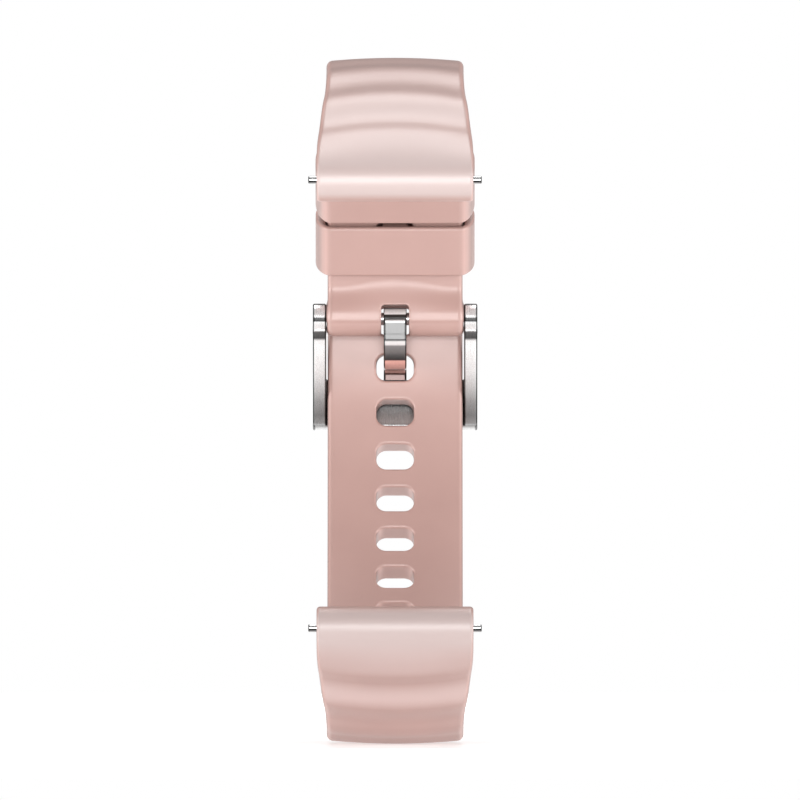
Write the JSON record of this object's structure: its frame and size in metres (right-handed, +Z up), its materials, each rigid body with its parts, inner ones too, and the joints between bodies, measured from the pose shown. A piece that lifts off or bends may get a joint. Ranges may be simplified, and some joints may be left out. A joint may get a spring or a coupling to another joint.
{
  "type": "fitness tracker band",
  "caption": "Buckled silicone wrist band in two straps, with quick-release spring bars at the tracker end, a tang buckle, a fixed keeper and a sliding keeper.",
  "frame": {"origin": "midway between the two spring bars' axes, where the tracker sits", "axes": "X across the strap, along the spring bars; -Y out of the front, away from the wrist; +Z up, towards the buckle-side strap"},
  "size_m": [0.0176, 0.0697, 0.0706],
  "materials": {
    "silicone": "matte pink silicone",
    "frame_steel": "brushed, with polished edges",
    "polished_steel": "polished",
    "bar_steel": "turned",
    "spring_steel": "drawn wire"
  },
  "bodies": {
    "straps": {"short_strap": "silicone", "long_strap": "silicone", "fixed_keeper": "silicone", "buckle_bar_tube": "bar_steel", "buckle_bar_spring": "spring_steel"},
    "free_keeper": {"free_keeper": "silicone"},
    "buckle_frame": {"buckle_frame": "frame_steel"},
    "buckle_tongue": {"buckle_tongue": "polished_steel"},
    "buckle_tip_left": {"buckle_bar_tip_left": "polished_steel"},
    "buckle_tip_right": {"buckle_bar_tip_right": "polished_steel"},
    "upper_bar": {"upper_bar_tube": "bar_steel", "upper_bar_fixed_tip": "polished_steel", "upper_bar_spring": "spring_steel"},
    "upper_release": {"upper_bar_sliding_tip": "polished_steel", "upper_bar_release_knob": "bar_steel"},
    "lower_bar": {"lower_bar_tube": "bar_steel", "lower_bar_fixed_tip": "polished_steel", "lower_bar_spring": "spring_steel"},
    "lower_release": {"lower_bar_sliding_tip": "polished_steel", "lower_bar_release_knob": "bar_steel"}
  },
  "joints": [
    {"name": "free_keeper_slide", "type": "hinge", "parent": "straps", "child": "free_keeper", "pos_m": [0, 0.03771, 0.007], "axis": [1, 0, 0], "range_deg": [-1, 20]},
    {"name": "frame_hinge", "type": "hinge", "parent": "straps", "child": "buckle_frame", "pos_m": [0, 0.06104, 0.00888], "axis": [1, 0, 0], "range_deg": [0, 3]},
    {"name": "tongue_hinge", "type": "hinge", "parent": "buckle_frame", "child": "buckle_tongue", "pos_m": [0, 0.06104, 0.00888], "axis": [1, 0, 0], "range_deg": [0, 2.5]},
    {"name": "buckle_tip_left_slide", "type": "slide", "parent": "straps", "child": "buckle_tip_left", "axis": [1, 0, 0], "range_m": [0, 0.0009], "stiffness_N_per_m": 300, "springref_m": -0.001, "deforming": ["buckle_bar_spring"]},
    {"name": "buckle_tip_right_slide", "type": "slide", "parent": "straps", "child": "buckle_tip_right", "axis": [-1, 0, 0], "range_m": [0, 0.0009], "stiffness_N_per_m": 300, "springref_m": -0.001, "deforming": ["buckle_bar_spring"]},
    {"name": "upper_bar_swivel", "type": "hinge", "parent": "straps", "child": "upper_bar", "pos_m": [0, 0, 0.02285], "axis": [1, 0, 0], "range_deg": [-10, 10]},
    {"name": "upper_release_slide", "type": "slide", "parent": "upper_bar", "child": "upper_release", "axis": [-1, 0, 0], "range_m": [0, 0.0011], "stiffness_N_per_m": 300, "springref_m": -0.001, "deforming": ["upper_bar_spring"]},
    {"name": "lower_bar_swivel", "type": "hinge", "parent": "straps", "child": "lower_bar", "pos_m": [0, 0, -0.02285], "axis": [1, 0, 0], "range_deg": [-10, 10]},
    {"name": "lower_release_slide", "type": "slide", "parent": "lower_bar", "child": "lower_release", "axis": [-1, 0, 0], "range_m": [0, 0.0011], "stiffness_N_per_m": 300, "springref_m": -0.001, "deforming": ["lower_bar_spring"]}
  ]
}
